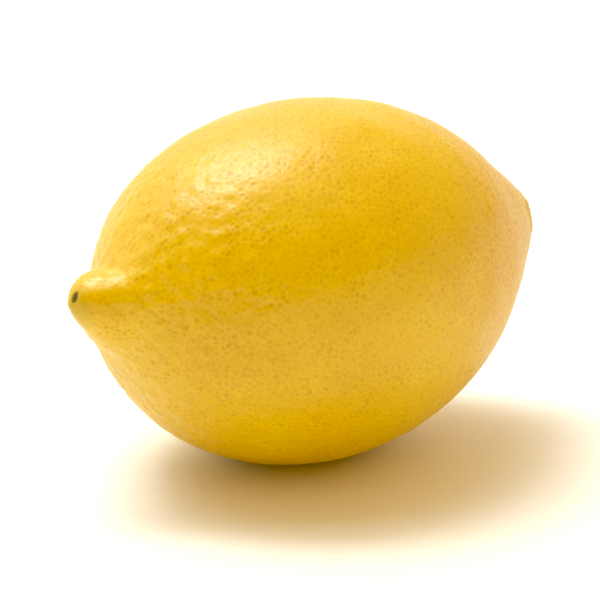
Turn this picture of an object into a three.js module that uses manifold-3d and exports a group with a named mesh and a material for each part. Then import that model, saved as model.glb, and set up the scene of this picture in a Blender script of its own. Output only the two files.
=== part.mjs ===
// A lemon as picked, lying on its side: the fruit, the green calyx that stays on its stem end,
// and the stalk clipped off short in the calyx.
//
// Millimetres, +Z up. The long axis runs along X, from the stylar nipple at -X to the stem end
// at +X. The origin is under the middle of the lemon, on the surface that it rests on.

import * as THREE from 'three';
import { mergeVertices } from 'three/addons/utils/BufferGeometryUtils.js';
import Module from 'manifold-3d';

// Belly: widest at x = 0, closing towards both ends. A larger taper makes a more pointed end.
const BELLY_RADIUS = 29;
const STYLAR_REACH = 35.4;
const STYLAR_TAPER = 0.48;
const STEM_REACH = 39.5;
const STEM_TAPER = 0.62;

// Nipple: a blunt cone that swells out of the belly at the stylar end, and leans up and to -Y.
// Where NIPPLE_CONE is 1 its side is round, and a smaller value makes it straighter.
const NIPPLE_RADIUS = 8;
const NIPPLE_BASE = 31;
const NIPPLE_LENGTH = 12;
const NIPPLE_TAPER = 0.58;
const NIPPLE_CONE = 0.8;
const NIPPLE_FILLET = 4;
const NIPPLE_RISE = 3.4;
const NIPPLE_LEAN = 1;

// The nipple's two flanks, where a cubic joins belly and nipple and leaves no hollow between.
const FLANK_START = 29;
const FLANK_START_SLOPE = 1.15;
const FLANK_END = 40;
const FLANK_END_SLOPE = 0.79;
const FLANK_TURN = 2.55;

// Neck: a blunt shoulder at the stem end, with the shallow well that holds the calyx.
const NECK_RADIUS = 8.1;
const NECK_BASE = 31.7;
const NECK_LENGTH = 10.6;
const NECK_TAPER = 0.41;
const NECK_FILLET = 7.5;
const NECK_RISE = 1.6;
const WELL_DEPTH = 1.5;
const WELL_RADIUS = 3.3;

// The whole fruit: both ends curl up a little, the section is slightly oval and not quite
// regular, and the peel is pressed flat where the lemon stands.
const END_CURL = 1.4;
const OVALITY = 0.025;
const OVAL_TURN = 1.97;
const THREE_SIDED = 0.004;
const FIVE_SIDED = 0.003;
const SIDES_WIND = 0.04;
const FLAT_DEPTH = 0.55;

// Calyx: a thin five-lobed button with a raised ring, whose socket holds the stalk.
const CALYX_RADIUS = 3.3;
const CALYX_LOBES = 5;
const CALYX_LOBE_DEPTH = 0.17;
const CALYX_THICKNESS = 0.45;
const CALYX_BELLY = 0.4;
const CALYX_RING_RADIUS = 1.6;
const CALYX_RING_HEIGHT = 0.6;

// Stalk: what the clippers leave, cut off just above the ring.
const STALK_RADIUS = 0.9;
const STALK_PROUD = 0.4;
const STALK_EDGE = 0.15;

// Gap between pieces that touch, and the fineness of the meshes.
const GAP = 0.3;
const FRUIT_RINGS = 62;
const FRUIT_SEGMENTS = 48;
const CALYX_SEGMENTS = 50;
const STALK_SEGMENTS = 24;
const MERGE_TOLERANCE = 1e-5;

const NIPPLE_TIP = NIPPLE_BASE + NIPPLE_LENGTH;
const NECK_END = NECK_BASE + NECK_LENGTH;

const manifold = await Module();
manifold.setup();

function bellyRadius(x) {
  const reach = x < 0 ? STYLAR_REACH : STEM_REACH;
  const taper = x < 0 ? STYLAR_TAPER : STEM_TAPER;
  const along = Math.min((x / reach) ** 2, 1);
  return BELLY_RADIUS * (1 - along) ** taper;
}

// A cylinder up to the base of an end, then a blunt tip that reaches the axis at s = 1.
function endRadius(radius, taper, s) {
  return radius * (1 - THREE.MathUtils.clamp(s, 0, 1) ** 2) ** taper;
}

// The larger of two radii, with a hollow fillet where they come closer than its width.
function filletedMax(a, b, width) {
  const closeness = Math.max(width - Math.abs(a - b), 0);
  return Math.max(a, b) + (width > 0 ? closeness ** 2 / (4 * width) : 0);
}

// Profiles of the two ends. The fillets fade out at the tips, so that the profile closes on the
// axis.
function nippleProfile(x) {
  const share = THREE.MathUtils.clamp((-x - NIPPLE_BASE) / NIPPLE_LENGTH, 0, 1);
  const nipple = endRadius(NIPPLE_RADIUS, NIPPLE_TAPER, share ** NIPPLE_CONE);
  return filletedMax(bellyRadius(x), nipple, NIPPLE_FILLET * Math.sqrt(nipple / NIPPLE_RADIUS));
}

function neckProfile(x) {
  const neck = endRadius(NECK_RADIUS, NECK_TAPER, (x - NECK_BASE) / NECK_LENGTH);
  return filletedMax(bellyRadius(x), neck, NECK_FILLET * Math.sqrt(neck / NECK_RADIUS));
}

function flankProfile(x) {
  const length = FLANK_END - FLANK_START;
  const s = (x + FLANK_END) / length;
  if (s <= 0 || s >= 1) {
    return nippleProfile(x);
  }
  const start = nippleProfile(-FLANK_START);
  const end = nippleProfile(-FLANK_END);
  const slopes = length * s * (1 - s) * (FLANK_END_SLOPE * (1 - s) - FLANK_START_SLOPE * s);
  return end + (start - end) * s * s * (3 - 2 * s) + slopes;
}

// Radius of the fruit at a station along its axis and an angle around it.
function fruitRadius(x, turn) {
  if (x >= 0) {
    return neckProfile(x);
  }
  const flank = Math.cos(turn - FLANK_TURN) ** 4;
  return nippleProfile(x) * (1 - flank) + flankProfile(x) * flank;
}

// The fruit's centre line, which leaves a straight axis towards both ends.
function centreLine(x) {
  const nipple = THREE.MathUtils.smoothstep(-x, NIPPLE_BASE, NIPPLE_TIP);
  const neck = THREE.MathUtils.smoothstep(x, NECK_BASE, NECK_END);
  const rise = NIPPLE_RISE * nipple + NECK_RISE * neck + END_CURL * (x / STEM_REACH) ** 2;
  return new THREE.Vector3(x, -NIPPLE_LEAN * nipple, rise);
}

// The section's swelling at an angle around the axis: a broad oval with three and five fainter
// sides, which wind a little along the fruit.
function swell(x, turn) {
  const oval = OVALITY * Math.cos(2 * (turn - OVAL_TURN));
  const threeSided = THREE_SIDED * Math.cos(3 * turn + SIDES_WIND * x);
  const fiveSided = FIVE_SIDED * Math.cos(5 * turn - SIDES_WIND * x);
  return 1 + oval + threeSided + fiveSided;
}

// Stations along the axis, closer together towards both tips, as a tube of radius 1 that closes
// at both ends.
function fruitProfile() {
  const middle = (NECK_END - NIPPLE_TIP) / 2;
  const half = (NECK_END + NIPPLE_TIP) / 2;
  const profile = [];
  for (let ring = 0; ring <= FRUIT_RINGS; ring += 1) {
    const x = middle - half * Math.cos((Math.PI * ring) / FRUIT_RINGS);
    profile.push(new THREE.Vector2(ring === 0 || ring === FRUIT_RINGS ? 0 : 1, x));
  }
  return profile;
}

// Turns a lathe, which spins about Y, so that its axis lies along X.
function lieAlongX(geometry) {
  return geometry.rotateZ(-Math.PI / 2);
}

// Moves every vertex of a geometry to where place(x, radius, turn) says.
function reshape(geometry, place) {
  const position = geometry.attributes.position;
  for (let i = 0; i < position.count; i += 1) {
    const y = position.getY(i);
    const z = position.getZ(i);
    const point = place(position.getX(i), Math.hypot(y, z), Math.atan2(z, y));
    position.setXYZ(i, point.x, point.y, point.z);
  }
  return geometry;
}

// Grows a point of the tube around the centre line, and sinks the well into the stem end.
function placeOnFruit(x, share, turn) {
  const radius = share * fruitRadius(x, turn);
  const grown = radius * swell(x, turn);
  const well = x > 0 ? WELL_DEPTH * Math.exp(-((radius / WELL_RADIUS) ** 2)) : 0;
  const outwards = new THREE.Vector3(-well, grown * Math.cos(turn), grown * Math.sin(turn));
  return centreLine(x).add(outwards);
}

// Keeps only the position, with shared vertices merged and collapsed triangles left out.
function toSolid(geometry) {
  const bare = geometry.clone();
  bare.deleteAttribute('normal');
  bare.deleteAttribute('uv');
  const merged = mergeVertices(bare, MERGE_TOLERANCE);
  const index = merged.index.array;
  const triangles = [];
  for (let i = 0; i < index.length; i += 3) {
    const [a, b, c] = [index[i], index[i + 1], index[i + 2]];
    if (a !== b && b !== c && c !== a) {
      triangles.push(a, b, c);
    }
  }
  const mesh = new manifold.Mesh({
    numProp: 3,
    vertProperties: Float32Array.from(merged.attributes.position.array),
    triVerts: Uint32Array.from(triangles),
  });
  return new manifold.Manifold(mesh);
}

function toGeometry(solid) {
  const mesh = solid.getMesh();
  const geometry = new THREE.BufferGeometry();
  geometry.setAttribute('position', new THREE.BufferAttribute(mesh.vertProperties, 3));
  geometry.setIndex(new THREE.BufferAttribute(mesh.triVerts, 1));
  geometry.computeVertexNormals();
  return geometry;
}

// Takes away everything below z = 0, which leaves the flat spot.
function cutFlat(geometry) {
  const size = 2 * (NECK_END + NIPPLE_TIP);
  const below = new THREE.BoxGeometry(size, size, size).translate(0, 0, -size / 2);
  return toGeometry(toSolid(geometry).subtract(toSolid(below)));
}

function material(color, roughness) {
  return new THREE.MeshStandardMaterial({ color, roughness, metalness: 0 });
}

function named(name, geometry, finish) {
  const mesh = new THREE.Mesh(geometry, finish);
  mesh.name = name;
  return mesh;
}

// The fruit before its flat spot is cut, with its axis at z = 0.
function wholeFruit() {
  const lathe = lieAlongX(new THREE.LatheGeometry(fruitProfile(), FRUIT_SEGMENTS));
  return reshape(lathe, placeOnFruit);
}

// A lens under a flat lobed leaf, with a ring on top around the stalk's socket.
function calyx() {
  const leafTop = CALYX_THICKNESS;
  const ringTop = leafTop + CALYX_RING_HEIGHT;
  const socket = STALK_RADIUS + GAP;
  const underside = [0, 0.25, 0.5, 0.75, 1].map(
    (s) => new THREE.Vector2(s * CALYX_RADIUS, (s ** 2 - 1) * CALYX_BELLY),
  );
  const profile = [
    ...underside,
    new THREE.Vector2(CALYX_RADIUS, leafTop / 2),
    new THREE.Vector2(CALYX_RADIUS - leafTop / 2, leafTop),
    new THREE.Vector2(CALYX_RING_RADIUS + leafTop / 2, leafTop),
    new THREE.Vector2(CALYX_RING_RADIUS, ringTop),
    new THREE.Vector2(socket, ringTop),
    new THREE.Vector2(socket, leafTop),
    new THREE.Vector2(0, leafTop),
  ];
  const lathe = lieAlongX(new THREE.LatheGeometry(profile, CALYX_SEGMENTS));
  const lobed = reshape(lathe, (x, radius, turn) => {
    const outwards = THREE.MathUtils.smoothstep(radius, CALYX_RING_RADIUS, CALYX_RADIUS);
    const spread = radius * (1 + CALYX_LOBE_DEPTH * outwards * Math.cos(CALYX_LOBES * turn));
    return new THREE.Vector3(x, spread * Math.cos(turn), spread * Math.sin(turn));
  });
  return named('calyx', lobed, material('#a8a34a', 0.7));
}

// A short peg in the calyx's socket, clipped straight, with a slightly rounded edge.
function stalk() {
  const base = CALYX_THICKNESS + GAP;
  const top = CALYX_THICKNESS + CALYX_RING_HEIGHT + STALK_PROUD;
  const profile = [
    new THREE.Vector2(0, base),
    new THREE.Vector2(STALK_RADIUS, base),
    new THREE.Vector2(STALK_RADIUS, top - STALK_EDGE),
    new THREE.Vector2(STALK_RADIUS - STALK_EDGE, top),
    new THREE.Vector2(0, top),
  ];
  const lathe = lieAlongX(new THREE.LatheGeometry(profile, STALK_SEGMENTS));
  return named('stem_stub', lathe, material('#8d8a3a', 0.75));
}

// The calyx and the stalk, seated in the well at the end of the fruit's centre line.
function stemEnd(axisHeight) {
  const seat = new THREE.Vector3(CALYX_BELLY + GAP - WELL_DEPTH, 0, axisHeight);
  const group = new THREE.Group();
  group.position.copy(centreLine(NECK_END).add(seat));
  group.add(calyx(), stalk());
  return group;
}

function lemon() {
  const whole = wholeFruit();
  whole.computeBoundingBox();
  const axisHeight = -whole.boundingBox.min.z - FLAT_DEPTH;
  const fruit = cutFlat(whole.translate(0, 0, axisHeight));

  const group = new THREE.Group();
  group.add(named('fruit', fruit, material('#e2b01b', 0.42)), stemEnd(axisHeight));
  const centre = new THREE.Box3().setFromObject(group, true).getCenter(new THREE.Vector3());
  group.position.set(-centre.x, -centre.y, 0);
  return group;
}

export default lemon();
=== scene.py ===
# A lemon lying on its side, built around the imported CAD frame: pitted peel, calyx, clipped stalk.
#
# Metres in the CAD's frame: +X runs from the nipple to the stem end, +Z is up, and the lemon
# rests at z = 0. The shape constants are millimetres and are the CAD's own, so that the detailed
# peel follows the CAD fruit.
import math

import bpy
import numpy as np
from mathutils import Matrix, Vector, kdtree


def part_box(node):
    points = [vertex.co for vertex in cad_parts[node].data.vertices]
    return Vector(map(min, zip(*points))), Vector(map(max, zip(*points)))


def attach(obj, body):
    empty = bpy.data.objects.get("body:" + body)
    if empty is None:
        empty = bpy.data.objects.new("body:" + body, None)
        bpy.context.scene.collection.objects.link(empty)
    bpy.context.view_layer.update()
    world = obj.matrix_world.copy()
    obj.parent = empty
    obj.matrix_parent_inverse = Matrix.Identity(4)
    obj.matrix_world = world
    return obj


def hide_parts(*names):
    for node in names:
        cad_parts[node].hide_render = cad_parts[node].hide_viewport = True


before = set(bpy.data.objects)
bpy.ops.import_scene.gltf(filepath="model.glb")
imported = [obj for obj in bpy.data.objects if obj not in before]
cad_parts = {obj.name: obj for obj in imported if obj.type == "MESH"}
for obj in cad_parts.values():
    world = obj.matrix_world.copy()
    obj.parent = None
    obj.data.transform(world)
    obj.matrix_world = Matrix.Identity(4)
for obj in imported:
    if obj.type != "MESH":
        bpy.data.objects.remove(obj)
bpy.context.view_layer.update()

MM = 0.001
TINY = 1e-9
SEED = 7

# The fruit's shape, as in the CAD, in millimetres.
BELLY_RADIUS = 29
STYLAR_REACH = 35.4
STYLAR_TAPER = 0.48
STEM_REACH = 39.5
STEM_TAPER = 0.62
NIPPLE_RADIUS = 8
NIPPLE_BASE = 31
NIPPLE_LENGTH = 12
NIPPLE_TAPER = 0.58
NIPPLE_CONE = 0.8
NIPPLE_FILLET = 4
FLANK_START = 29
FLANK_START_SLOPE = 1.15
FLANK_END = 40
FLANK_END_SLOPE = 0.79
FLANK_TURN = 2.55
NIPPLE_RISE = 3.4
NIPPLE_LEAN = 1
NECK_RADIUS = 8.1
NECK_BASE = 31.7
NECK_LENGTH = 10.6
NECK_TAPER = 0.41
NECK_FILLET = 7.5
NECK_RISE = 1.6
WELL_DEPTH = 1.5
WELL_RADIUS = 3.3
END_CURL = 1.4
OVALITY = 0.025
OVAL_TURN = 1.97
THREE_SIDED = 0.004
FIVE_SIDED = 0.003
SIDES_WIND = 0.04
NIPPLE_TIP = NIPPLE_BASE + NIPPLE_LENGTH
NECK_END = NECK_BASE + NECK_LENGTH

# The peel's mesh: cells along the axis and across it on each side of a rounded cube, and the
# margin around each side in the atlas.
CELLS_ALONG = 300
CELLS_ACROSS = 220
ATLAS_MARGIN = 0.01

# Width of the bend where the peel meets its flat spot, in millimetres.
FLAT_EDGE = 0.3

# Random fields: the number of plane waves in one, and how their lengths vary.
WAVES = 36
WAVE_VARIETY = (0.75, 1.35)

# Oil glands, lengths in millimetres: how many places are tried, how far a gland strays from its
# vertex, least distance apart, pit radius, depth of the faintest and the deepest pit, powers that
# make most pits faint and their floors round, the ridge between neighbouring glands, and the bend
# and the patches that make them all irregular.
SCATTER_TRIES = 150000
SCATTER_JITTER = 0.09
GLAND_SPACING = 0.78
GLAND_RADIUS = 0.52
GLAND_DEPTH = (0.012, 0.055)
GLAND_FAINTNESS = 1.6
PIT_ROUNDNESS = 1.5
RIDGE_WIDTH = 0.34
RIDGE_HEIGHT = 0.01
BEND = 0.1
BEND_WAVE = 1.3
PATCH_WAVE = 7.0
PATCH_EDGE = 1.2
PATCH_LEAST = 0.55

# Uneven peel, in millimetres: wavelengths and heights. The cobbles grow from the belly to the
# nipple, and they and the glands are calmer at its tip.
BROAD_WAVE = 9.0
BROAD_HEIGHT = 0.05
COBBLE_WAVE = 2.5
COBBLE_HEIGHT = 0.01
COBBLE_GROWTH = 0.04
COBBLE_GROWS = (12, 27)
FINE_WAVE = 1.5
FINE_HEIGHT = 0.006
TIP_CALMS = (36, 42)
TIP_CALM = 0.6

# Wrinkles at the two ends, in millimetres: where they start and fade along the axis, and their
# height. A crease has its count around the fruit, how it winds along the axis, phase and share,
# and a pucker its count, phase and share.
CREASE_START = (27, 35)
CREASE_FADE = (39, 42.5)
CREASE_HEIGHT = 0.015
CREASES = ((7, 0.25, 0.0, 1.0), (12, -0.3, 1.3, 0.7))
PUCKER_START = (33, 39)
PUCKER_HEIGHT = 0.06
PUCKERS = ((8, 0.6 + math.pi / 2, 1.0), (13, 2.1 + math.pi / 2, 0.6))

# The stylar scar, lengths in millimetres: a small dent just above and in front of the nipple's
# tip, taller than wide.
SCAR_TURN = math.radians(118)
SCAR_OFFSET = 1.5
SCAR_FORWARD = 0.35
SCAR_RADIUS = 0.8
SCAR_TALLNESS = 1.6
SCAR_DEPTH = 0.25
SCAR_RAGGEDNESS = 0.07
SCAR_WAVE = 1.1
SCAR_DARK = 0.9

# Where the peel's colour turns along the axis, in millimetres from the middle. The deeper amber
# towards the stem end is painted shade.
TIP_TINT = (40, 43)
NECK_TINT = (34, 41.5)
STEM_SHADE_TINT = (8, 38)

# The calyx, lengths in millimetres. Its underside is sunk into the peel, its leaf is draped over
# it, and its collar stands around the stalk's socket. Starts and edges are radii, but the rim's is
# a share of its lobe.
LOBES = 5
LOBE_ROOT = 2.5
LOBE_LENGTHS = (0.9, 1.12)
LOBE_BLUNTNESS = 0.8
LOBE_WARPS = ((2, 0.10), (3, 0.06))
# Painted shade in the crevices between the lobes: where it starts and is full, and how dark it is.
LOBE_CREVICE = (1.6, 2.6)
CREVICE_SHADE = 0.8
LOBE_RIM = (2.7, 3.6)
RAGGED_TEETH = 17
RAGGEDNESS = 0.05
CALYX_RINGS = 60
CALYX_SEGMENTS = 120
CALYX_FOOT = 0.5
CALYX_DISH = 0.2
CALYX_UNDERSIDE = 0.98
COLLAR_SINK = 0.35
COLLAR_HEIGHT = 0.35
COLLAR_RADIUS = 1.35
COLLAR_WIDTH = 0.38
SOCKET_EDGE = (0.7, 0.95)
SOCKET_DEPTH = 0.35
LEAF_DRAPE = 0.42
DRAPE_BETWEEN_LOBES = 0.8
LEAF_WRINKLES = ((20, 0.0, 0.05), (33, 1.0, 0.03))
WRINKLE_START = (0.6, 2.2)
RIM_START = 0.92
RIM_DROP = 0.22

# The stalk, lengths in millimetres. Its foot is sunk into the peel. Its side takes a share of the
# profile, and the rest is the cut, which slants and has a dent in its core.
STALK_RADIUS = 0.92
STALK_FLARE = 0.05
STALK_RIDGES = ((6, 0.4, 0.04), (11, 0.0, 0.02))
STALK_RINGS = 40
STALK_SEGMENTS = 60
STALK_SIDE = 0.7
STALK_SINK = 0.35
STALK_FOOT = 0.9
CUT_SLANT = 0.1
CUT_SLANT_TURN = 0.8
CUT_ROUNDING = 0.12
CUT_START = (0.25, 0.12)
CORE_DENT = 0.05
CORE_SHARE = 0.35
CORE_EDGE = (0.12, 0.32)

# Camera: its angle, its distance in metres, how far its aim is moved from the belly's middle, and
# its lens and sensor in millimetres.
VIEW_AZIMUTH = math.radians(-31)
VIEW_ELEVATION = math.radians(21.5)
VIEW_DISTANCE = 0.88
VIEW_SHIFT = (-0.0005, 0, -0.0035)
LENS = 330
SENSOR_WIDTH = 36
CLIP_START = 0.01

# Blue that the view takes away from the shadows.
SHADOW_BLUE = 0.022

# The studio's colours.
SWEEP_WHITE = (1.0, 1.0, 1.0)
ROOM_AMBER = (0.48, 0.27, 0.05)
COOL_WHITE = (0.88, 0.99, 1.0)
WARM_BOUNCE = (1.0, 0.6, 0.12)

# Where the white horizon fades into the room, as the sine of the elevation.
HORIZON_EDGE = (0.22, 0.0)

# Directions of light are parts to the right, up, and back to the camera in its view. The white
# wall is behind the lemon, and fades into the room by the cosine of the angle from its middle.
WALL_DIRECTION = (-0.6, 0, -0.8)
WALL_EDGE = (0.05, 0.6)

# The key light: six softboxes side by side in two rows, and two smaller ones in their middle.
KEY_HEIGHT = 0.92
KEY_SIDES = (-0.50, -0.28, -0.06)
KEY_DEPTHS = (0.20, -0.05)
CORE_SIDES = (-0.38, -0.18)
CORE_DEPTH = 0.09

# The floor, in metres. It lies a hair under the lemon.
FLOOR_RADIUS = 6.0
FLOOR_SEGMENTS = 96
FLOOR_DROP = 0.00004


def clamp01(value):
    return np.clip(value, 0.0, 1.0)


def smoothstep(value, low, high):
    s = clamp01((value - low) / (high - low))
    return s * s * (3 - 2 * s)


# ---------------------------------------------------------------- the fruit's smooth form


def belly_radius(x):
    reach = np.where(x < 0, STYLAR_REACH, STEM_REACH)
    taper = np.where(x < 0, STYLAR_TAPER, STEM_TAPER)
    return BELLY_RADIUS * (1 - np.minimum((x / reach) ** 2, 1)) ** taper


def end_radius(radius, taper, s):
    """A cylinder up to the base of an end, then a blunt tip that reaches the axis at s = 1."""
    return radius * (1 - clamp01(s) ** 2) ** taper


def filleted_max(a, b, width):
    """The larger of two values, with a hollow fillet where they come closer than its width."""
    closeness = np.maximum(width - np.abs(a - b), 0)
    return np.maximum(a, b) + closeness**2 / (4 * np.maximum(width, TINY))


def nipple_profile(x):
    share = clamp01((-x - NIPPLE_BASE) / NIPPLE_LENGTH)
    nipple = end_radius(NIPPLE_RADIUS, NIPPLE_TAPER, share**NIPPLE_CONE)
    return filleted_max(belly_radius(x), nipple, NIPPLE_FILLET * np.sqrt(nipple / NIPPLE_RADIUS))


def neck_profile(x):
    neck = end_radius(NECK_RADIUS, NECK_TAPER, (x - NECK_BASE) / NECK_LENGTH)
    return filleted_max(belly_radius(x), neck, NECK_FILLET * np.sqrt(neck / NECK_RADIUS))


def flank_profile(x):
    """Between the belly and the nipple, a cubic that leaves no hollow. Elsewhere, the profile."""
    length = FLANK_END - FLANK_START
    s = clamp01((x + FLANK_END) / length)
    start = nipple_profile(np.array(-FLANK_START, float))
    end = nipple_profile(np.array(-FLANK_END, float))
    cubic = end + (start - end) * s * s * (3 - 2 * s)
    cubic += length * s * (1 - s) * (FLANK_END_SLOPE * (1 - s) - FLANK_START_SLOPE * s)
    return np.where((s > 0) & (s < 1), cubic, nipple_profile(x))


def fruit_radius(x, turn):
    """The fruit's radius at a station and an angle. The nipple's flanks are fuller."""
    flank = np.cos(turn - FLANK_TURN) ** 4
    stylar = nipple_profile(x) * (1 - flank) + flank_profile(x) * flank
    return np.where(x < 0, stylar, neck_profile(x))


def centre_line(x):
    nipple = smoothstep(-x, NIPPLE_BASE, NIPPLE_TIP)
    neck = smoothstep(x, NECK_BASE, NECK_END)
    rise = NIPPLE_RISE * nipple + NECK_RISE * neck + END_CURL * (x / STEM_REACH) ** 2
    return np.stack([x, -NIPPLE_LEAN * nipple, rise], axis=-1)


def swell(x, turn):
    oval = OVALITY * np.cos(2 * (turn - OVAL_TURN))
    three_sided = THREE_SIDED * np.cos(3 * turn + SIDES_WIND * x)
    five_sided = FIVE_SIDED * np.cos(5 * turn - SIDES_WIND * x)
    return 1 + oval + three_sided + five_sided


def place_on_fruit(x, turn):
    """The fruit's surface at a station along its axis and an angle around it."""
    radius = fruit_radius(x, turn)
    well = np.where(x > 0, WELL_DEPTH * np.exp(-((radius / WELL_RADIUS) ** 2)), 0)
    grown = radius * swell(x, turn)
    outwards = np.stack([-well, grown * np.cos(turn), grown * np.sin(turn)], axis=-1)
    return centre_line(x) + outwards


# ---------------------------------------------------------------- mesh helpers


def box_mm(node):
    """The corners of a CAD node's box, in millimetres."""
    return (np.array(corner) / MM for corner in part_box(node))


def make_mesh(name, points, faces, attributes, uv=None):
    """A smooth-shaded mesh object from points in millimetres and lists of their indices."""
    mesh = bpy.data.meshes.new(name)
    mesh.from_pydata((points * MM).tolist(), [], faces)
    mesh.polygons.foreach_set("use_smooth", np.ones(len(mesh.polygons), bool))
    for key, values in attributes.items():
        layer = mesh.attributes.new(key, "FLOAT", "POINT")
        layer.data.foreach_set("value", values.astype(np.float32))
    if uv is not None:
        mesh.uv_layers.new(name="OFBake").data.foreach_set("uv", uv.astype(np.float32).ravel())
    mesh.validate()
    mesh.update()
    piece = bpy.data.objects.new(name, mesh)
    bpy.context.scene.collection.objects.link(piece)
    return piece


def vertex_normals(points, quads):
    """Unit normals from the faces around each vertex."""
    diagonal_a = points[quads[:, 2]] - points[quads[:, 0]]
    diagonal_b = points[quads[:, 3]] - points[quads[:, 1]]
    face_normal = np.cross(diagonal_a, diagonal_b)
    normals = np.zeros_like(points)
    for corner in range(4):
        for axis in range(3):
            normals[:, axis] += np.bincount(
                quads[:, corner], weights=face_normal[:, axis], minlength=len(points)
            )
    return normals / np.linalg.norm(normals, axis=1, keepdims=True)


def merge_lattice(lattice, cells):
    """Unit directions, once each where sides of the cube meet, and each point's index in them."""
    span = np.array(cells) + 1
    code = (lattice[:, 0] * span[1] + lattice[:, 1]) * span[2] + lattice[:, 2]
    _, first, merged = np.unique(code, return_index=True, return_inverse=True)
    directions = np.tan((2 * lattice[first] / np.array(cells) - 1) * math.pi / 4)
    directions /= np.linalg.norm(directions, axis=1, keepdims=True)
    return directions, merged.reshape(-1)


def rounded_cube(cells):
    """Unit directions, quads and atlas coordinates of a cube blown up to a sphere.

    cells holds the number of cells along X, Y and Z. Each side takes a third of the atlas's width
    and half of its height."""
    lattices = []
    quads = []
    uvs = []
    start = 0
    for side in range(6):
        axis = side // 2
        top = side % 2
        u_axis = (axis + 1) % 3
        v_axis = (axis + 2) % 3
        shape = (cells[u_axis] + 1, cells[v_axis] + 1)
        u, v = np.indices(shape)
        lattice = np.zeros((*shape, 3), int)
        lattice[..., axis] = cells[axis] * top
        lattice[..., u_axis] = u
        lattice[..., v_axis] = v
        lattices.append(lattice.reshape(-1, 3))
        index = start + np.arange(u.size).reshape(shape)
        corners = [index[:-1, :-1], index[1:, :-1], index[1:, 1:], index[:-1, 1:]]
        if not top:
            corners.reverse()
        quads.append(np.stack(corners, -1).reshape(-1, 4))
        s = ATLAS_MARGIN + (1 - 2 * ATLAS_MARGIN) * u / cells[u_axis]
        t = ATLAS_MARGIN + (1 - 2 * ATLAS_MARGIN) * v / cells[v_axis]
        uvs.append(np.stack([(axis + s) / 3, (top + t) / 2], -1).reshape(-1, 2))
        start += u.size
    directions, merged = merge_lattice(np.concatenate(lattices), cells)
    quads = np.concatenate(quads)
    return directions, merged[quads], np.concatenate(uvs)[quads]


def wave_field(points, rng, wavelength):
    """A smooth random field of about unit size: many plane waves of nearly one wavelength."""
    field = np.zeros(len(points))
    for _ in range(WAVES):
        direction = rng.normal(size=3)
        direction /= np.linalg.norm(direction)
        length = wavelength * rng.uniform(*WAVE_VARIETY)
        phase = rng.uniform(0, 2 * math.pi)
        field += np.sin(points @ (direction * 2 * math.pi / length) + phase)
    return field * math.sqrt(2 / WAVES)


def ripples(turns, waves):
    """A sum of sines around an axis, from the count, phase and height of each."""
    return sum(height * np.sin(count * turns + phase) for count, phase, height in waves)


# ---------------------------------------------------------------- peel


def scatter(points, rng):
    """Places for the oil glands near the peel's vertices, at least a spacing apart."""
    cells = {}

    def is_clear(place, home):
        for i in (-1, 0, 1):
            for j in (-1, 0, 1):
                for k in (-1, 0, 1):
                    for other in cells.get((home[0] + i, home[1] + j, home[2] + k), ()):
                        if math.dist(place, other) < GLAND_SPACING:
                            return False
        return True

    glands = []
    order = rng.permutation(len(points))[:SCATTER_TRIES]
    jitter = rng.uniform(-SCATTER_JITTER, SCATTER_JITTER, (len(order), 3))
    for place in (points[order] + jitter).tolist():
        home = tuple(int(part // GLAND_SPACING) for part in place)
        if is_clear(place, home):
            cells.setdefault(home, []).append(place)
            glands.append(place)
    return glands


def nearest_glands(points, glands):
    """For each vertex: its nearest gland, how far that is, and how much farther the next one is."""
    tree = kdtree.KDTree(len(glands))
    for index, gland in enumerate(glands):
        tree.insert(gland, index)
    tree.balance()
    owner = np.empty(len(points), dtype=int)
    reach = np.empty(len(points))
    margin = np.empty(len(points))
    for index, point in enumerate(points.tolist()):
        (_, first, near), (_, _, far) = tree.find_n(point, 2)
        owner[index] = first
        reach[index] = near
        margin[index] = far - near
    return owner, reach, margin


def gland_relief(points, rng):
    """Heights of the pits and ridges, and how much of a pit and of a ridge each vertex is. The ridge
    share is also painted lighter, as a glint.
    """
    glands = scatter(points, rng)
    strengths = rng.uniform(0.0, 1.0, len(glands)) ** GLAND_FAINTNESS
    bend = np.stack([wave_field(points, rng, BEND_WAVE) for _ in range(3)], -1)
    owner, reach, margin = nearest_glands(points + BEND * bend, glands)
    strength = strengths[owner]
    bell = clamp01(1 - (reach / GLAND_RADIUS) ** 2) ** PIT_ROUNDNESS
    faintest, deepest = GLAND_DEPTH
    pit = bell * (faintest + (deepest - faintest) * strength)
    # The ridge lifts the relief a little, and it is also painted lighter as a glint.
    ridge_and_glint = 1 - smoothstep(margin, 0, RIDGE_WIDTH)
    patch = smoothstep(wave_field(points, rng, PATCH_WAVE), -PATCH_EDGE, PATCH_EDGE)
    patch = PATCH_LEAST + (1 - PATCH_LEAST) * patch
    return RIDGE_HEIGHT * ridge_and_glint - pit, bell * strength * patch, ridge_and_glint * patch


def peel_relief(points, rng):
    """Heights over the smooth form, and how much of a pit and of a ridge each vertex is. The ridge
    share is painted as a glint.
    """
    along = points[:, 0]
    glands, pores, ridge_glints = gland_relief(points, rng)
    calm = 1 - TIP_CALM * smoothstep(-along, *TIP_CALMS)
    cobble_height = COBBLE_HEIGHT + COBBLE_GROWTH * smoothstep(-along, *COBBLE_GROWS)
    relief = BROAD_HEIGHT * wave_field(points, rng, BROAD_WAVE)
    relief += cobble_height * wave_field(points, rng, COBBLE_WAVE) * calm
    relief += FINE_HEIGHT * wave_field(points, rng, FINE_WAVE)
    relief += glands * calm
    return relief, pores, ridge_glints


def end_wrinkles(points, turn):
    """Creases that run out from the nipple, and puckers around the stem end."""
    along = points[:, 0]
    at_nipple = smoothstep(-along, *CREASE_START) * (1 - smoothstep(-along, *CREASE_FADE))
    winding = [(count, wind * along + phase, share) for count, wind, phase, share in CREASES]
    creases = CREASE_HEIGHT * at_nipple * ripples(turn, winding)
    puckers = PUCKER_HEIGHT * smoothstep(along, *PUCKER_START) * ripples(turn, PUCKERS)
    return creases + puckers


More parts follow.
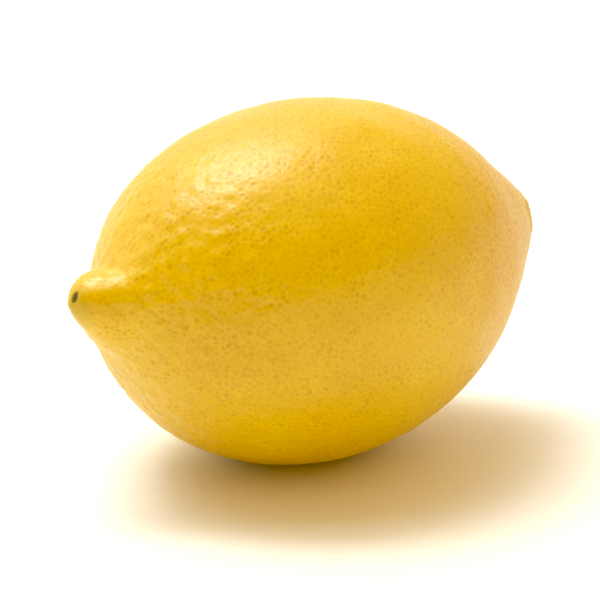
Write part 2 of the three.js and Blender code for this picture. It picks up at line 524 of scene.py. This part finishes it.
def scar_dent(points, rng):
    """How far each vertex is into the stylar scar, from 0 to 1. Its edge is a little uneven."""
    tip = place_on_fruit(np.array([-NIPPLE_TIP]), np.array([0.0]))[0]
    towards = np.array([SCAR_FORWARD, math.cos(SCAR_TURN), math.sin(SCAR_TURN)])
    offset = points - (tip + SCAR_OFFSET * towards)
    offset[:, 2] /= SCAR_TALLNESS
    unevenness = 1 + SCAR_RAGGEDNESS * wave_field(points, rng, SCAR_WAVE)
    distance = np.linalg.norm(offset, axis=1) * unevenness
    return clamp01(1 - (distance / SCAR_RADIUS) ** 2)


def seat(smooth, detailed):
    """The detailed peel in the CAD fruit's place, pressed flat where it rests.

    It moves with the smooth form, which goes to the middle of the fruit's box, with tops level."""
    low, high = box_mm("fruit")
    shift = (low + high - smooth.min(0) - smooth.max(0)) / 2
    shift[2] = high[2] - smooth[:, 2].max()
    seated = detailed + shift
    seated[:, 2] = filleted_max(seated[:, 2], 0, FLAT_EDGE)
    return seated


def build_peel():
    share = 1
    cells = [int(count * share) for count in (CELLS_ALONG, CELLS_ACROSS, CELLS_ACROSS)]
    directions, quads, uv = rounded_cube(cells)
    middle = (NECK_END - NIPPLE_TIP) / 2
    half = (NECK_END + NIPPLE_TIP) / 2
    along = middle + half * directions[:, 0]
    turn = np.arctan2(directions[:, 2], directions[:, 1])
    points = place_on_fruit(along, turn)

    rng = np.random.default_rng(SEED)
    relief, pores, ridge_glints = peel_relief(points, rng)
    relief += end_wrinkles(points, turn)
    scar = scar_dent(points, rng)
    relief -= SCAR_DEPTH * scar
    detailed = points + relief[:, None] * vertex_normals(points, quads)
    attributes = {
        "pore": pores,
        "ridge_and_glint": ridge_glints,
        "scar": smoothstep(scar, 0, SCAR_DARK),
        "tip": smoothstep(-along, *TIP_TINT),
        "neck": smoothstep(along, *NECK_TINT),
        # Painted shade towards the stem end.
        "stem_end_shade": smoothstep(along, *STEM_SHADE_TINT),
    }
    return make_mesh("lemon_peel", seat(points, detailed), quads.tolist(), attributes, uv)


# ---------------------------------------------------------------- materials


class Nodes:
    """A short way to build one node material. Lengths are in millimetres."""

    def __init__(self, name):
        self.material = bpy.data.materials.new(name)
        self.material.use_nodes = True
        self.tree = self.material.node_tree
        self.shader = self.tree.nodes["Principled BSDF"]
        self.position = self.tree.nodes.new("ShaderNodeTexCoord").outputs["Object"]

    def put(self, socket, value):
        if isinstance(value, bpy.types.NodeSocket):
            self.tree.links.new(value, socket)
        else:
            socket.default_value = value

    def set(self, **values):
        for name, value in values.items():
            self.put(self.shader.inputs[name.replace("_", " ")], value)

    def noise(self, wavelength, detail, roughness=0.5):
        node = self.tree.nodes.new("ShaderNodeTexNoise")
        self.put(node.inputs["Vector"], self.position)
        node.inputs["Scale"].default_value = 1 / (wavelength * MM)
        node.inputs["Detail"].default_value = detail
        node.inputs["Roughness"].default_value = roughness
        return node.outputs["Fac"]

    def attribute(self, name):
        node = self.tree.nodes.new("ShaderNodeAttribute")
        node.attribute_name = name
        return node.outputs["Fac"]

    def spread(self, value, low, high, to_low=0.0, to_high=1.0):
        node = self.tree.nodes.new("ShaderNodeMapRange")
        self.put(node.inputs["Value"], value)
        node.inputs["From Min"].default_value = low
        node.inputs["From Max"].default_value = high
        node.inputs["To Min"].default_value = to_low
        node.inputs["To Max"].default_value = to_high
        return node.outputs["Result"]

    def math(self, operation, a, b):
        node = self.tree.nodes.new("ShaderNodeMath")
        node.operation = operation
        self.put(node.inputs[0], a)
        self.put(node.inputs[1], b)
        return node.outputs[0]

    def mix(self, factor, a, b):
        node = self.tree.nodes.new("ShaderNodeMix")
        node.data_type = "RGBA"
        self.put(node.inputs["Factor"], factor)
        self.put(node.inputs["A"], a)
        self.put(node.inputs["B"], b)
        return node.outputs["Result"]

    def tint(self, color, mask, strength, other):
        """The colour, turned towards another by a mask and a strength."""
        return self.mix(self.math("MULTIPLY", mask, strength), color, other)

    def bump(self, height, distance, strength):
        node = self.tree.nodes.new("ShaderNodeBump")
        node.inputs["Distance"].default_value = distance * MM
        node.inputs["Strength"].default_value = strength
        self.put(node.inputs["Height"], height)
        return node.outputs["Normal"]


def rgb(red, green, blue):
    """A colour given as it looks on a screen, from 0 to 255, as the shader wants it."""
    linear = []
    for value in (red, green, blue):
        share = value / 255
        linear.append(share / 12.92 if share <= 0.04045 else ((share + 0.055) / 1.055) ** 2.4)
    return (*linear, 1.0)


def peel_material():
    nodes = Nodes("peel")
    pore = nodes.attribute("pore")
    scar = nodes.attribute("scar")
    blotch = nodes.spread(nodes.noise(22, 3), 0.35, 0.65)
    mottle = nodes.spread(nodes.noise(2.6, 3, 0.6), 0.3, 0.7)
    fleck = nodes.spread(nodes.noise(0.75, 2), 0.35, 0.7)
    color = nodes.mix(blotch, rgb(212, 166, 0), rgb(220, 180, 0))
    color = nodes.tint(color, mottle, 0.3, rgb(230, 186, 10))
    # Painted shade: the peel turns a deeper amber towards the stem end, darkening that side of the
    # fruit.
    color = nodes.tint(color, nodes.attribute("stem_end_shade"), 0.5, rgb(206, 140, 0))
    color = nodes.tint(color, fleck, 0.22, rgb(238, 200, 36))
    # Painted highlight: the ridges between the glands are lighter, as if they caught the light.
    color = nodes.tint(color, nodes.attribute("ridge_and_glint"), 0.32, rgb(240, 206, 36))
    color = nodes.tint(color, pore, 0.45, rgb(170, 118, 0))
    color = nodes.tint(color, nodes.attribute("tip"), 0.6, rgb(186, 158, 14))
    color = nodes.tint(color, nodes.attribute("neck"), 0.3, rgb(206, 186, 40))
    color = nodes.mix(scar, color, nodes.mix(mottle, rgb(66, 44, 14), rgb(104, 74, 26)))
    rough = nodes.spread(nodes.noise(1.2, 2), 0.3, 0.7, 0.40, 0.50)
    rough = nodes.math("ADD", rough, nodes.math("MULTIPLY", pore, 0.12))
    rough = nodes.math("ADD", rough, nodes.math("MULTIPLY", scar, 0.35))
    nodes.set(
        Base_Color=color,
        Roughness=rough,
        Normal=nodes.bump(nodes.noise(0.45, 3, 0.6), 0.03, 0.6),
        IOR=1.47,
        Subsurface_Weight=0.18,
        Subsurface_Radius=(1.0, 0.55, 0.12),
        Subsurface_Scale=2.2 * MM,
        Coat_Weight=0.35,
        Coat_Roughness=0.33,
    )
    return nodes.material


def calyx_material():
    nodes = Nodes("calyx")
    streak = nodes.spread(nodes.noise(1.1, 4, 0.7), 0.3, 0.7)
    speck = nodes.spread(nodes.noise(0.35, 2), 0.5, 0.75)
    color = nodes.mix(streak, rgb(150, 152, 74), rgb(196, 196, 128))
    # Painted shade: dark olive in the crevices between the lobes.
    color = nodes.mix(nodes.attribute("crevice_shade"), color, rgb(92, 88, 34))
    color = nodes.tint(color, nodes.attribute("rim"), 0.7, rgb(140, 104, 50))
    color = nodes.tint(color, speck, 0.4, rgb(120, 92, 46))
    nodes.set(
        Base_Color=color,
        Roughness=nodes.spread(streak, 0, 1, 0.55, 0.75),
        Normal=nodes.bump(nodes.noise(0.3, 3, 0.7), 0.06, 0.8),
        Subsurface_Weight=0.08,
        Subsurface_Radius=(0.6, 0.8, 0.2),
        Subsurface_Scale=0.6 * MM,
    )
    return nodes.material


def stalk_material():
    nodes = Nodes("stalk")
    streak = nodes.spread(nodes.noise(0.5, 4, 0.7), 0.3, 0.7)
    bark = nodes.mix(streak, rgb(112, 118, 48), rgb(152, 152, 84))
    wood = nodes.mix(streak, rgb(116, 82, 44), rgb(168, 134, 84))
    color = nodes.mix(nodes.attribute("cut"), bark, wood)
    color = nodes.mix(nodes.attribute("core"), color, rgb(74, 48, 24))
    nodes.set(
        Base_Color=color,
        Roughness=nodes.spread(streak, 0, 1, 0.65, 0.85),
        Normal=nodes.bump(nodes.noise(0.22, 3, 0.7), 0.05, 0.8),
    )
    return nodes.material


def floor_material():
    nodes = Nodes("floor")
    grain = nodes.spread(nodes.noise(6, 4, 0.6), 0.3, 0.7)
    nodes.set(
        Base_Color=nodes.mix(grain, (0.93, 0.925, 0.905, 1), (0.95, 0.945, 0.925, 1)),
        Roughness=nodes.spread(grain, 0, 1, 0.6, 0.66),
    )
    return nodes.material


# ---------------------------------------------------------------- calyx and stalk


def spin(profile_at, rings, segments):
    """Points and faces of a closed surface around the X axis.

    profile_at(share of the rings, turns) gives the x and the radius all round one ring. The first
    and the last ring close to a point."""
    turns = np.arange(segments) * 2 * math.pi / segments
    points = []
    for ring in range(rings + 1):
        x, radius = profile_at(ring / rings, turns)
        x = np.broadcast_to(x, turns.shape)
        points.append(np.stack([x, radius * np.cos(turns), radius * np.sin(turns)], -1))
    first_centre = points[0].mean(0, keepdims=True)
    last_centre = points[-1].mean(0, keepdims=True)
    body = np.concatenate(points[1:-1])
    last_ring = len(body) - segments

    faces = []
    for ring in range(0, last_ring, segments):
        for k in range(segments):
            after = (k + 1) % segments
            faces.append((ring + k, ring + segments + k, ring + segments + after, ring + after))
    for k in range(segments):
        after = (k + 1) % segments
        faces.append((len(body), k, after))
        faces.append((len(body) + 1, last_ring + after, last_ring + k))
    return np.concatenate([body, first_centre, last_centre]), faces


def around_stem(points):
    """Points around the X axis, moved to the middle of the stalk. They keep their places along X."""
    low, high = box_mm("stem_stub")
    middle = (low + high) / 2
    return points + np.array([0, middle[1], middle[2]])


def lobe_wave(turns):
    """1 along the middle of each lobe, and 0 between two lobes."""
    return 0.5 + 0.5 * np.cos(LOBES * turns)


def build_calyx():
    low, high = box_mm("calyx")
    foot = low[0] - CALYX_FOOT
    collar_top = high[0] - COLLAR_SINK
    leaf_top = collar_top - COLLAR_HEIGHT
    rng = np.random.default_rng(SEED + 1)
    lobe_lengths = rng.uniform(*LOBE_LENGTHS, LOBES)
    phases = rng.uniform(0, 2 * math.pi, 3)

    def lobe_edge(turns):
        warps = [(count, phase, turn) for (count, turn), phase in zip(LOBE_WARPS, phases)]
        warped = turns + ripples(turns, warps)
        which = np.round(warped * LOBES / (2 * math.pi)).astype(int) % LOBES
        lobe = lobe_wave(warped) ** LOBE_BLUNTNESS * lobe_lengths[which]
        return LOBE_ROOT + lobe + RAGGEDNESS * np.sin(RAGGED_TEETH * turns + phases[2])

    def upper_side(s, radius, turns):
        evenness = DRAPE_BETWEEN_LOBES + (1 - DRAPE_BETWEEN_LOBES) * lobe_wave(turns)
        drape = LEAF_DRAPE * s**2 * evenness
        collar = COLLAR_HEIGHT * np.exp(-(((radius - COLLAR_RADIUS) / COLLAR_WIDTH) ** 2))
        wrinkle = ripples(turns, LEAF_WRINKLES) * smoothstep(radius, *WRINKLE_START)
        socket = SOCKET_DEPTH * (1 - smoothstep(radius, *SOCKET_EDGE))
        return leaf_top - drape + collar + wrinkle - socket - RIM_DROP * smoothstep(s, RIM_START, 1)

    def profile_at(share, turns):
        edge = lobe_edge(turns)
        if share < 0.5:
            s = 2 * share
            return foot - CALYX_DISH * s, CALYX_UNDERSIDE * edge * s
        s = 2 * (1 - share)
        return upper_side(s, edge * s, turns), edge * s

    points, faces = spin(profile_at, CALYX_RINGS, CALYX_SEGMENTS)
    radius = np.linalg.norm(points[:, 1:], axis=1)
    between = 1 - lobe_wave(np.arctan2(points[:, 2], points[:, 1]))
    attributes = {
        # Painted shade between the lobes.
        "crevice_shade": CREVICE_SHADE * between**3 * smoothstep(radius, *LOBE_CREVICE),
        "rim": smoothstep(radius, *LOBE_RIM),
    }
    return make_mesh("calyx_leaf", around_stem(points), faces, attributes)


def build_stalk():
    low, high = box_mm("stem_stub")
    foot = low[0] - STALK_FOOT
    top = high[0] - STALK_SINK

    def profile_at(share, turns):
        rim = STALK_RADIUS + ripples(turns, STALK_RIDGES)
        slant = CUT_SLANT * np.cos(turns - CUT_SLANT_TURN)
        if share < STALK_SIDE:
            s = share / STALK_SIDE
            return foot + (top - CUT_ROUNDING - foot + slant) * s, rim + STALK_FLARE * (1 - s)
        s = (1 - share) / (1 - STALK_SIDE)
        dent = CORE_DENT * np.exp(-((s / CORE_SHARE) ** 2))
        return top + slant - CUT_ROUNDING * s**6 - dent, rim * s

    points, faces = spin(profile_at, STALK_RINGS, STALK_SEGMENTS)
    radius = np.linalg.norm(points[:, 1:], axis=1)
    cut = smoothstep(points[:, 0], top - CUT_START[0], top - CUT_START[1])
    core = cut * (1 - smoothstep(radius, *CORE_EDGE))
    return make_mesh("stalk_stub", around_stem(points), faces, {"cut": cut, "core": core})


# ---------------------------------------------------------------- stage, light and camera


def view_axes():
    """Unit vectors of the camera's view: to the right, up, and back towards the camera."""
    level = math.cos(VIEW_ELEVATION)
    right = Vector((math.cos(VIEW_AZIMUTH), math.sin(VIEW_AZIMUTH), 0))
    back = Vector(
        (math.sin(VIEW_AZIMUTH) * level, -math.cos(VIEW_AZIMUTH) * level, math.sin(VIEW_ELEVATION))
    )
    return right, back.cross(right), back


def from_view(direction):
    """A unit vector in the frame, from parts to the right, up and back in the camera's view."""
    return sum((part * axis for part, axis in zip(direction, view_axes())), Vector()).normalized()


def belly_centre():
    low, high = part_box("fruit")
    return Vector((0, (low.y + high.y) / 2, (low.z + high.z) / 2))


def aim(piece, position, target):
    """Link a camera or lamp that looks from a position at a target."""
    piece.location = position
    piece.rotation_euler = (position - target).to_track_quat("Z", "Y").to_euler()
    bpy.context.scene.collection.objects.link(piece)


def add_camera():
    target = belly_centre() + Vector(VIEW_SHIFT)
    data = bpy.data.cameras.new("camera")
    data.lens = LENS
    data.sensor_width = SENSOR_WIDTH
    data.clip_start = CLIP_START
    camera = bpy.data.objects.new("camera", data)
    aim(camera, target + VIEW_DISTANCE * view_axes()[2], target)
    bpy.context.scene.camera = camera


def add_softbox(name, direction, degrees, strength, color):
    """A distant softbox that fills some degrees of the sky in a direction of the view."""
    data = bpy.data.lights.new(name, "SUN")
    data.angle = math.radians(degrees)
    data.energy = strength
    data.color = color
    target = belly_centre()
    aim(bpy.data.objects.new(name, data), target + from_view(direction), target)


def add_lights():
    """The key light above on the left, a wide scrim over everything, and a warm bounce."""
    for side in KEY_SIDES:
        for depth in KEY_DEPTHS:
            direction = (side, KEY_HEIGHT, depth)
            add_softbox("key", direction, degrees=26, strength=0.36, color=COOL_WHITE)
    for side in CORE_SIDES:
        direction = (side, KEY_HEIGHT, CORE_DEPTH)
        add_softbox("key_core", direction, degrees=15, strength=0.42, color=COOL_WHITE)
    add_softbox("scrim", (0.35, 0.9, 0.2), degrees=110, strength=0.66, color=COOL_WHITE)
    add_softbox("bounce", (0.85, 0.25, 0.3), degrees=140, strength=0.25, color=WARM_BOUNCE)


def add_world():
    """A white sweep: the horizon all round and the wall behind the lemon. The rest is a dim room."""
    world = bpy.data.worlds.new("studio")
    world.use_nodes = True
    tree = world.node_tree
    direction = tree.nodes.new("ShaderNodeTexCoord").outputs["Generated"]

    def share(axis, low, high):
        """How far the direction's part along an axis is from low to high, eased at both ends."""
        along = tree.nodes.new("ShaderNodeVectorMath")
        along.operation = "DOT_PRODUCT"
        along.inputs[1].default_value = axis
        tree.links.new(direction, along.inputs[0])
        spread = tree.nodes.new("ShaderNodeMapRange")
        spread.interpolation_type = "SMOOTHSTEP"
        spread.inputs["From Min"].default_value = low
        spread.inputs["From Max"].default_value = high
        tree.links.new(along.outputs["Value"], spread.inputs["Value"])
        return spread.outputs["Result"]

    either = tree.nodes.new("ShaderNodeMath")
    either.operation = "MAXIMUM"
    tree.links.new(share((0, 0, 1), *HORIZON_EDGE), either.inputs[0])
    tree.links.new(share(from_view(WALL_DIRECTION), *WALL_EDGE), either.inputs[1])
    mix = tree.nodes.new("ShaderNodeMix")
    mix.data_type = "RGBA"
    tree.links.new(either.outputs[0], mix.inputs["Factor"])
    mix.inputs["A"].default_value = (*ROOM_AMBER, 1)
    mix.inputs["B"].default_value = (*SWEEP_WHITE, 1)
    tree.links.new(mix.outputs["Result"], tree.nodes["Background"].inputs["Color"])
    bpy.context.scene.world = world


def add_floor():
    turns = [2 * math.pi * k / FLOOR_SEGMENTS for k in range(FLOOR_SEGMENTS)]
    rim = [(FLOOR_RADIUS * math.cos(turn), FLOOR_RADIUS * math.sin(turn), 0) for turn in turns]
    mesh = bpy.data.meshes.new("floor")
    mesh.from_pydata(rim, [], [list(range(FLOOR_SEGMENTS))])
    mesh.materials.append(floor_material())
    floor = bpy.data.objects.new("floor", mesh)
    floor.location.z = -FLOOR_DROP
    bpy.context.scene.collection.objects.link(floor)


def grade_view():
    """Plain view transform, with the faint blue of the shadows taken away."""
    settings = bpy.context.scene.view_settings
    settings.view_transform = "Standard"
    settings.use_curve_mapping = True
    settings.curve_mapping.black_level = (0, 0, SHADOW_BLUE)
    settings.curve_mapping.update()


def finish_piece(piece, node, material):
    piece.data.materials.append(material)
    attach(piece, "root")
    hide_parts(node)


add_camera()
add_world()
add_lights()
add_floor()
finish_piece(build_peel(), "fruit", peel_material())
finish_piece(build_calyx(), "calyx", calyx_material())
finish_piece(build_stalk(), "stem_stub", stalk_material())
grade_view()
